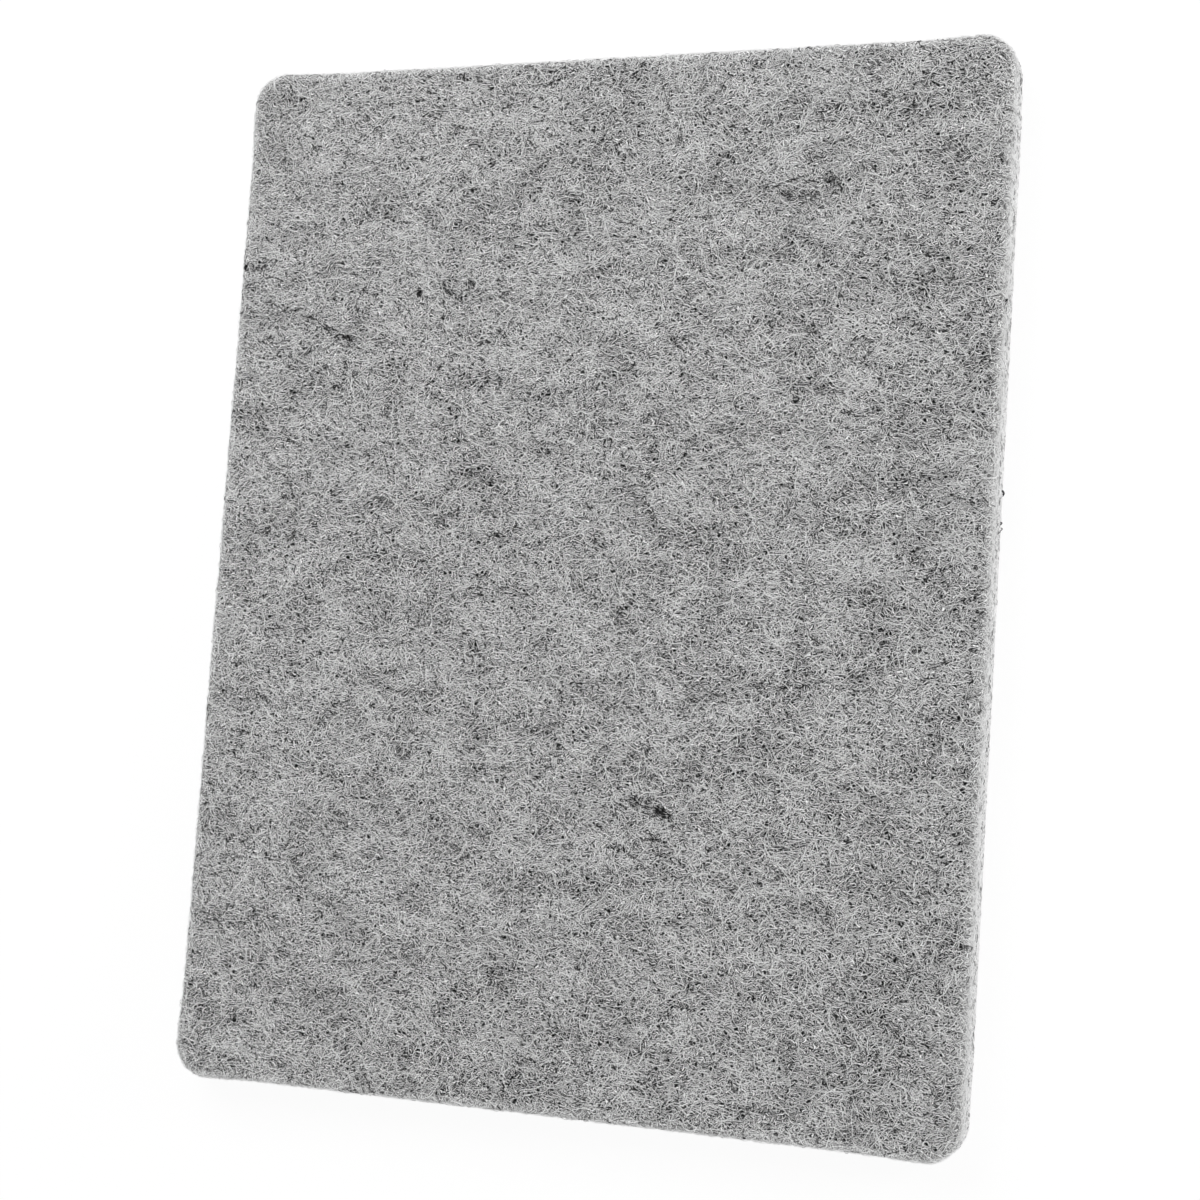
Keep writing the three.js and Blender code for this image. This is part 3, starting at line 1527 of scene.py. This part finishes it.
        # Across, along, lie, reach, breadth, hairs and hair length
        return (
            Kemp(20.2, -57.6, -15.0, 8.5, 4.0, 46, 1.3),
            Kemp(25.0, -67.0, 0.0, 6.0, 1.2, 16, 1.8),
            Kemp(30.9, -72.0, -20.0, 4.0, 1.0, 12, 1.8),
            Kemp(-43.0, 76.0, -30.0, 3.4, 3.0, 28, 1.2),
            Kemp(-36.0, 77.8, -45.0, 2.2, 0.3, 6, 2.2),
            Kemp(-73.0, 63.5, -25.0, 6.0, 2.2, 24, 1.8),
            Kemp(53.5, 100.0, 0.0, 6.0, 1.6, 20, 1.8),
            Kemp(-102.5, 84.0, 5.0, 5.0, 2.2, 26, 1.3),
            Kemp(-94.0, 80.5, -5.0, 7.0, 0.4, 6, 3.0),
        )

    def bold_tufts(self) -> tuple[Kemp, ...]:
        """Lists the dark tufts of stout hairs that show on the face and at its right edge.

        Returns:
            The tufts.
        """
        # Across, along, lie, reach, breadth, hairs and hair length
        return (
            Kemp(27.2, -60.3, -12.0, 1.7, 1.0, 34, 1.2),
            Kemp(23.5, -59.3, -15.0, 4.0, 1.2, 5, 2.2),
            Kemp(-51.6, 75.6, 60.0, 0.9, 0.8, 24, 0.9),
            Kemp(-42.5, 75.6, -40.0, 1.6, 1.2, 7, 1.2),
            Kemp(-38.7, 64.1, -30.0, 2.0, 0.2, 3, 2.2),
            Kemp(-44.2, 55.0, 60.0, 0.6, 0.3, 6, 1.2),
            Kemp(-31.2, 62.1, 10.0, 1.6, 0.8, 5, 1.5),
            Kemp(-80.0, 67.0, -28.0, 9.0, 0.4, 9, 4.5),
            Kemp(-73.0, 63.5, -25.0, 5.0, 0.8, 4, 2.2),
            Kemp(48.0, 102.6, 20.0, 4.0, 0.6, 4, 3.5),
            Kemp(57.0, 103.5, 0.0, 8.0, 0.8, 6, 3.5),
            Kemp(64.3, 101.5, -45.0, 3.0, 0.5, 3, 3.5),
            Kemp(53.5, 100.0, 0.0, 5.0, 1.0, 4, 2.0),
            Kemp(57.7, -27.3, 12.0, 5.0, 0.4, 5, 3.0),
            Kemp(87.8, 83.2, 0.0, 0.8, 0.6, 6, 1.0),
            Kemp(82.4, 122.2, 30.0, 0.8, 0.6, 5, 1.0),
            Kemp(-105.9, 84.5, 80.0, 1.0, 0.5, 10, 1.2),
            Kemp(-8.0, -53.6, 10.0, 1.2, 0.5, 5, 1.4),
            Kemp(-59.7, -5.9, 0.0, 0.8, 0.5, 5, 1.0),
            Kemp(2.2, 17.6, 0.0, 0.9, 0.5, 5, 1.1),
            Kemp(27.3, 31.9, 0.0, 1.0, 0.5, 5, 1.2),
            Kemp(117.0, 24.6, 70.0, 1.2, 1.2, 6, 1.1),
            Kemp(117.0, 15.6, 80.0, 1.4, 1.0, 3, 1.1),
            Kemp(108.5, 71.4, 85.0, 0.8, 0.5, 5, 1.0),
        )

    def build(self) -> None:
        wool = self.finish.make()
        for batch in self.batches():
            for piece in batch.build(wool):
                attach(piece, ROOT_BODY)
                LOG.info("%s: %d faces", piece.name, len(piece.data.polygons))


@dataclass(frozen=True)
class Lamp:
    """A square soft lamp that faces the pad. Its power is in watts."""

    name: str
    power: float
    size: float
    place: Triple

    def hang(self) -> None:
        """Hangs the lamp in its place."""
        lamp = bpy.data.lights.new(self.name, "AREA")
        lamp.energy = self.power
        lamp.size = self.size
        hung = bpy.data.objects.new(self.name, lamp)
        hung.location = self.place
        hung.rotation_euler = (-Vector(self.place)).to_track_quat("-Z", "Y").to_euler()
        hung.visible_camera = False
        bpy.context.collection.objects.link(hung)


@dataclass
class Studio:
    """A pale floor, soft light and the camera at the photograph's viewing angle."""

    aim: Triple = (6.68 * MM, -6.50 * MM, 12.7 * MM)
    distance: float = 582.1 * MM
    swing: float = math.radians(20.456)
    tip: float = math.radians(5.322)
    spin: float = math.radians(3.888)
    lens: float = 67.18
    sensor: float = 36.0
    floor_size: float = 6.0
    floor_white: float = 0.97
    floor_glow: float = 1.02
    shadow_share: float = 0.12
    sky_light: float = 0.585
    lamps: tuple[Lamp, ...] = (
        Lamp("key", power=3.3, size=0.6, place=(-0.25, 0.5, 0.65)),
        Lamp("fill", power=8.0, size=0.5, place=(1.4, 0.5, 0.4)),
        Lamp("front", power=3.0, size=0.4, place=(0.3, -1.3, 0.15)),
    )

    def build(self) -> None:
        """Sets the floor, the light and the camera."""
        self.floor()
        self.sky()
        for lamp in self.lamps:
            lamp.hang()
        self.camera()
        bpy.context.scene.view_settings.view_transform = "Standard"

    def floor(self) -> None:
        """Lays the floor, white to the camera but for a soft shadow."""
        bpy.ops.object.select_all(action="DESELECT")
        bpy.ops.mesh.primitive_plane_add(size=self.floor_size, location=(0.0, 0.0, 0.0))
        floor = bpy.context.object
        floor.name = "floor"
        material, graph = ShaderGraph.for_material("pale_floor")
        paint = graph.node("ShaderNodeBsdfDiffuse", {}, {"Color": grey(self.floor_white)})
        white = graph.node("ShaderNodeEmission", {}, {"Color": grey(1.0), "Strength": self.floor_glow})
        seen = self.seen(graph) * (1.0 - self.shadow_share)
        shown = graph.node("ShaderNodeMixShader", {}, {0: seen, 1: paint, 2: white})
        graph.finish("ShaderNodeOutputMaterial", shown)
        floor.data.materials.append(material)
        floor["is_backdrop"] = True

    def seen(self, graph: ShaderGraph) -> ShaderValue:
        """Gives 1 for rays from the camera and for those that shiny or clear things send on."""
        camera = graph.node("ShaderNodeLightPath", output="Is Camera Ray")
        return camera.maximum(camera.beside("Is Glossy Ray")).maximum(camera.beside("Is Transmission Ray"))

    def sky(self) -> None:
        """Lights the pad evenly from all round, and shows white behind it."""
        world = bpy.data.worlds.new("white_studio")
        world.use_nodes = True
        bpy.context.scene.world = world
        graph = ShaderGraph(world.node_tree)
        seen = self.seen(graph)
        strength = self.sky_light + (1.0 - self.sky_light) * seen
        shown = graph.node("ShaderNodeBackground", {}, {"Color": grey(1.0), "Strength": strength})
        graph.finish("ShaderNodeOutputWorld", shown)

    def camera(self) -> None:
        """Stands the camera where the photograph was taken from."""
        turn = Matrix.Rotation(self.swing, 3, "Y")
        turn = turn @ Matrix.Rotation(self.tip, 3, "X") @ Matrix.Rotation(self.spin, 3, "Z")
        data = bpy.data.cameras.new("camera")
        data.lens = self.lens
        data.sensor_width = self.sensor
        camera = bpy.data.objects.new("camera", data)
        place = Vector(self.aim) + turn @ Vector((0.0, 0.0, self.distance))
        camera.matrix_world = Matrix.Translation(place) @ turn.to_4x4()
        bpy.context.collection.objects.link(camera)
        bpy.context.scene.camera = camera


def main() -> None:
    """Dresses the pad and sets the studio."""
    logging.basicConfig(level=logging.INFO, format="%(name)s: %(message)s")
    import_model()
    frame_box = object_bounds()
    half = (frame_box[1] - frame_box[0]) / 2.0
    outline = PadOutline(half_width=half.x - NAP, half_length=half.y - NAP)
    relief = FeltRelief()
    Studio().build()
    pad = FeltPad(outline, relief)
    pad.build()
    LooseWool(PadSurface(outline, relief, frame_box[1].z, pad.arris_round)).build()


if __name__ == "__main__":
    main()
